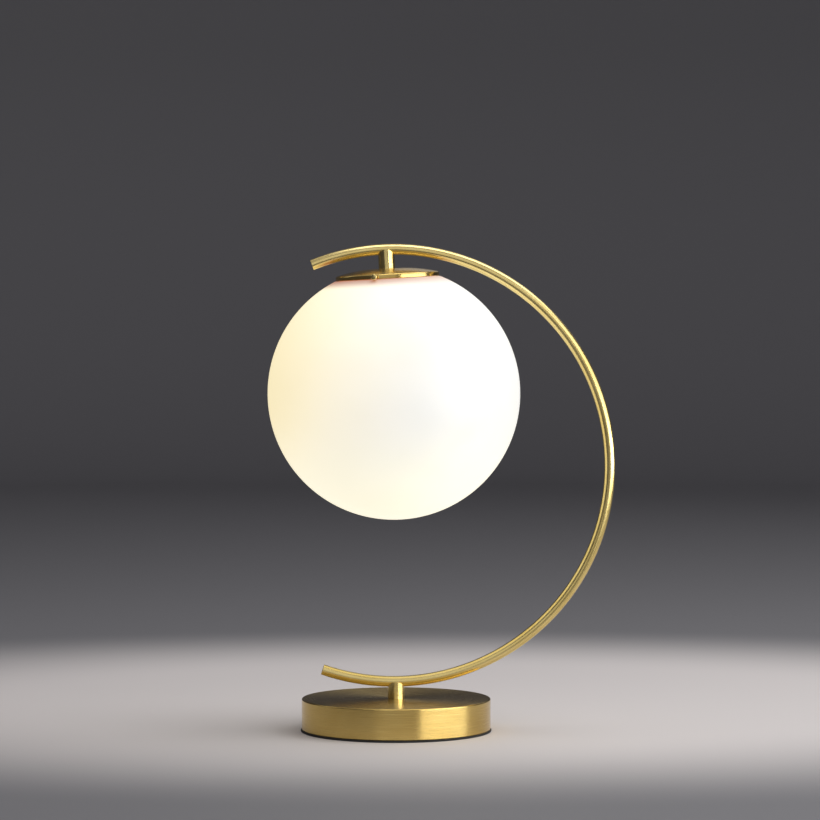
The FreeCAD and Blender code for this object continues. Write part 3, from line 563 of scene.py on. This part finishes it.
def make_tube():
    """The bent tube: outer and inner wall swept together about the arc's centre."""
    plug_turn = PLUG_FACE / ARC_RADIUS
    start_turn = Matrix.Rotation(-LOWER_END - plug_turn, 3, "Y")
    swept_turn = UPPER_END - LOWER_END - 2 * plug_turn
    mesh = bmesh.new()
    for radius in (TUBE_RADIUS, TUBE_RADIUS - TUBE_WALL):
        bmesh.ops.create_circle(mesh, radius=radius, segments=48)
    bmesh.ops.translate(mesh, vec=(ARC_RADIUS, 0, 0), verts=mesh.verts)
    bmesh.ops.rotate(mesh, matrix=start_turn, verts=mesh.verts)
    near_end = list(mesh.edges)
    swept = bmesh.ops.spin(mesh, geom=list(mesh.verts) + near_end, axis=(0, -1, 0),
                           angle=swept_turn, steps=420)
    far_end = [item for item in swept["geom_last"] if isinstance(item, bmesh.types.BMEdge)]
    bmesh.ops.bridge_loops(mesh, edges=near_end)
    bmesh.ops.bridge_loops(mesh, edges=far_end)
    bmesh.ops.translate(mesh, vec=ARC_CENTRE, verts=mesh.verts)
    bmesh.ops.recalc_face_normals(mesh, faces=mesh.faces)
    add_piece(mesh, "bent_tube", "lamp", TUBE_BRASS, ["arc_tube"])


def make_plug(name, end, outward, node):
    """A flush plug at one end of the tube; outward is the sense of the turn out of it."""
    shank_length = 4.0 * MM
    shank_radius = 3.1 * MM
    bevel = 0.35 * MM
    outline = [(0, -shank_length), (shank_radius, -shank_length), (shank_radius, 0)]
    outline += [(TUBE_RADIUS, 0)]
    outline += bow((TUBE_RADIUS - bevel, PLUG_FACE - bevel), bevel, 0, 90, 4)
    outline += [(0, PLUG_FACE)]
    turn = end - outward * PLUG_FACE / ARC_RADIUS
    heading = -turn if outward > 0 else math.pi - turn
    place = Matrix.Translation(arc_point(turn)) @ Matrix.Rotation(heading, 4, "Y")
    add_piece(spun(outline, 40, place, closed=False), name, "lamp", TUBE_BRASS, [node])


def make_posts():
    """Post and stem: their saddles come from the solids, smoothed."""
    add_piece(merged_copy("post"), "short_post", "lamp", POST_BRASS, ["post"], crease=40.0)
    add_piece(merged_copy("stem"), "short_stem", "lamp", STEM_BRASS, ["stem"], crease=40.0)


# ---------------------------------------------------------------- cap, screw and glass


def make_cap():
    """Shallow dome with a hemmed skirt."""
    skirt = 2.4 * MM
    corner = 1.3 * MM
    wall = 0.8 * MM
    hem = 1.6 * MM
    edge = 0.25 * MM
    flat = 9.5 * MM
    hole = 5.25 * MM
    inside = CAP_RADIUS - corner
    top = skirt + corner
    drop = CAP_HEIGHT - top
    span = inside - flat
    dome = (span ** 2 + drop ** 2) / (2 * drop)
    brow = 90 - math.degrees(math.asin(span / dome))
    dome_start = brow + 1
    outline = [(CAP_RADIUS - hem, edge), (CAP_RADIUS - hem + edge, 0)]
    outline += [(CAP_RADIUS - edge, 0), (CAP_RADIUS, edge)]
    outline += bow((inside, skirt), corner, 0, brow, 6)
    outline += bow((flat, CAP_HEIGHT - dome), dome, dome_start, 90, 24)
    outline += [(hole, CAP_HEIGHT), (hole, CAP_HEIGHT - wall)]
    outline += bow((flat, CAP_HEIGHT - wall - dome), dome, 90, dome_start, 24)
    outline += [(CAP_RADIUS - hem, top - wall * 1.4)]
    add_piece(spun(outline, 192, RIM), "domed_cap", "lamp", CAP_BRASS, ["fitter_cap"])


def screw_place():
    """Place of the thumb screw: its Z runs outward from the leaning axis, near the front."""
    level = Matrix.Translation((0, 0, HOLDING_LEVEL))
    turn = Matrix.Rotation(math.radians(-103), 4, "Z")
    return RIM @ level @ turn @ Matrix.Rotation(math.radians(90), 4, "Y")


def make_thumb_screw():
    """Knurled screw: the teeth are pressed into the rim of its head."""
    start = 39.35 * MM
    head = CAP_RADIUS + 2.0 * MM
    end = head + 4.0 * MM
    shank = 1.25 * MM
    rim = 2.4 * MM
    bevel = 0.4 * MM
    teeth = 24
    tooth_share = 0.025
    outline = [(0, start), (shank, start), (shank, head), (rim - bevel, head)]
    outline += [(rim, head + bevel), (rim, end - bevel)]
    outline += bow((rim - bevel * 2, end - bevel * 2), bevel * 2, 45, 90, 3)
    outline += [(0, end)]
    mesh = spun(outline, teeth * 4, closed=False)
    for corner in mesh.verts:
        reach = math.hypot(corner.co.x, corner.co.y)
        if reach > rim - bevel * 0.5:
            tooth = math.cos(teeth * math.atan2(corner.co.y, corner.co.x))
            corner.co.xy *= 1 - tooth_share + tooth_share * tooth
    mesh.transform(screw_place())
    add_piece(mesh, "knurled_screw", "screw", SCREW_BRASS, ["thumb_screw"], crease=25.0)


def make_globe():
    """Opal ball with its short grooved neck, hollow."""
    inner = GLOBE_RADIUS - 3.0 * MM
    neck = 38.6 * MM
    neck_inner = 35.6 * MM
    groove = 37.9 * MM
    groove_half = 0.8 * MM
    top = 2.7 * MM
    lip_rise = 0.1 * MM
    lip_inset = 0.4 * MM
    shoulder = math.degrees(math.acos(SHOULDER_RADIUS / GLOBE_RADIUS))
    mouth = math.degrees(math.acos(neck_inner / inner))
    outline = bow((0, GLOBE_LEVEL), GLOBE_RADIUS, -90, shoulder, 96)
    outline += [
        (neck, SHOULDER_LEVEL),
        (neck, HOLDING_LEVEL - groove_half),
        (groove, HOLDING_LEVEL),
        (neck, HOLDING_LEVEL + groove_half),
        (neck, top - lip_rise),
        (neck - lip_inset, top),
        (neck_inner, top),
    ]
    outline += bow((0, GLOBE_LEVEL), inner, mouth, -90, 64)
    mesh = spun(outline, 160, RIM, closed=False)
    add_piece(mesh, "opal_ball", "lamp", OPAL, ["glass_globe"])


make_pad()
make_drum()
make_bushing()
make_tube()
make_plug("upper_plug", UPPER_END, 1, "tube_cap_upper")
make_plug("lower_plug", LOWER_END, -1, "tube_cap_lower")
make_posts()
make_cap()
make_thumb_screw()
make_globe()


# ---------------------------------------------------------------- stage, light, camera


BACKGROUND = rgb(112, 111, 114)
WORLD_STRENGTH = 2.2

# The lamps point at the middle of the object.
AIM = Vector((0.03, 0, 0.18))

# Azimuth from the front in degrees, distance, height, size and glow. At a glow of 1 the
# lamp's own face is plain white.
LAMPS = {
    "right_softbox": (64, 1.8, 1.0, (2.4, 1.1), 1.7),
    "right_strip": (62, 1.8, 0.23, (2.3, 0.38), 7.0),
    "front_softbox": (-2, 3.2, 1.5, (3.0, 2.8), 0.7),
    "left_softbox": (-110, 1.75, 1.3, (0.5, 1.0), 0.9),
    "rear_softbox": (165, 2.4, 1.3, (1.4, 1.0), 0.4),
    "top_softbox": (100, 0.5, 1.75, (1.1, 1.9), 2.5),
}


def make_stage():
    """Round floor with a painted pool of light, pale round the lamp and darkening away from it,
    that curves up into a far grey wall.
    """
    reach, curve, height = 3.3, 0.8, 3.6
    outline = [(0, 0), (reach, 0)]
    outline += bow((reach, curve), curve, -90, 0, 24)[1:]
    outline += [(reach + curve, height)]
    mesh = spun(outline, 128, closed=False)
    bmesh.ops.reverse_faces(mesh, faces=mesh.faces)
    floor = smooth_object("floor", mesh)
    finish = Finish("floor_painted_light_pool")
    x, y, _ = finish.parts(finish.place((0.05, 0.2, 0)))
    distance = (x * x * 0.5 + y * y) ** 0.5
    # Painted pool of light: pale near the lamp, fading to the background grey further out.
    tone = finish.mix(distance.ramp(0.26, 0.62), rgb(210, 204, 202), BACKGROUND)
    floor.data.materials.append(finish.surface(Base_Color=tone, Roughness=0.7))


def add_lamp(name, azimuth, distance, height, size, glow):
    """A soft rectangular lamp that the camera doesn't see."""
    turn = math.radians(azimuth)
    width, depth = size
    data = bpy.data.lights.new(name, "AREA")
    data.shape = "RECTANGLE"
    data.size = width
    data.size_y = depth
    data.energy = glow * math.pi * width * depth
    lamp = bpy.data.objects.new(name, data)
    lamp.visible_camera = False
    bpy.context.scene.collection.objects.link(lamp)
    lamp.location = (math.sin(turn) * distance, -math.cos(turn) * distance, height)
    lamp.rotation_euler = (AIM - lamp.location).to_track_quat("-Z", "Y").to_euler()


def make_light():
    """A wide softbox and a low strip to the right; dimmer ones in front, left, behind, above."""
    world = bpy.data.worlds.new("studio")
    bpy.context.scene.world = world
    world.use_nodes = True
    background = world.node_tree.nodes["Background"]
    background.inputs["Color"].default_value = BACKGROUND
    background.inputs["Strength"].default_value = WORLD_STRENGTH
    for name, settings in LAMPS.items():
        add_lamp(name, *settings)


def make_camera():
    """The photograph's view: 820 px square, eye level with the cap, looking slightly down."""
    image = 820
    focal_px = 3575
    mm_per_px = 0.7917
    eye_row = 273
    axis_column = 396.1
    eye_height = 363.5
    sensor = 36
    data = bpy.data.cameras.new("camera")
    data.sensor_width = sensor
    data.lens = focal_px / image * sensor
    camera = bpy.data.objects.new("camera", data)
    bpy.context.scene.collection.objects.link(camera)
    sideways = (image / 2 - axis_column) * mm_per_px
    distance = focal_px * mm_per_px
    camera.location = (sideways * MM, -distance * MM, eye_height * MM)
    down = math.atan((image / 2 - eye_row) / focal_px)
    camera.rotation_euler = (math.pi / 2 - down, 0, 0)
    bpy.context.scene.camera = camera


make_stage()
make_light()
make_camera()
bpy.context.scene.view_settings.view_transform = "Standard"
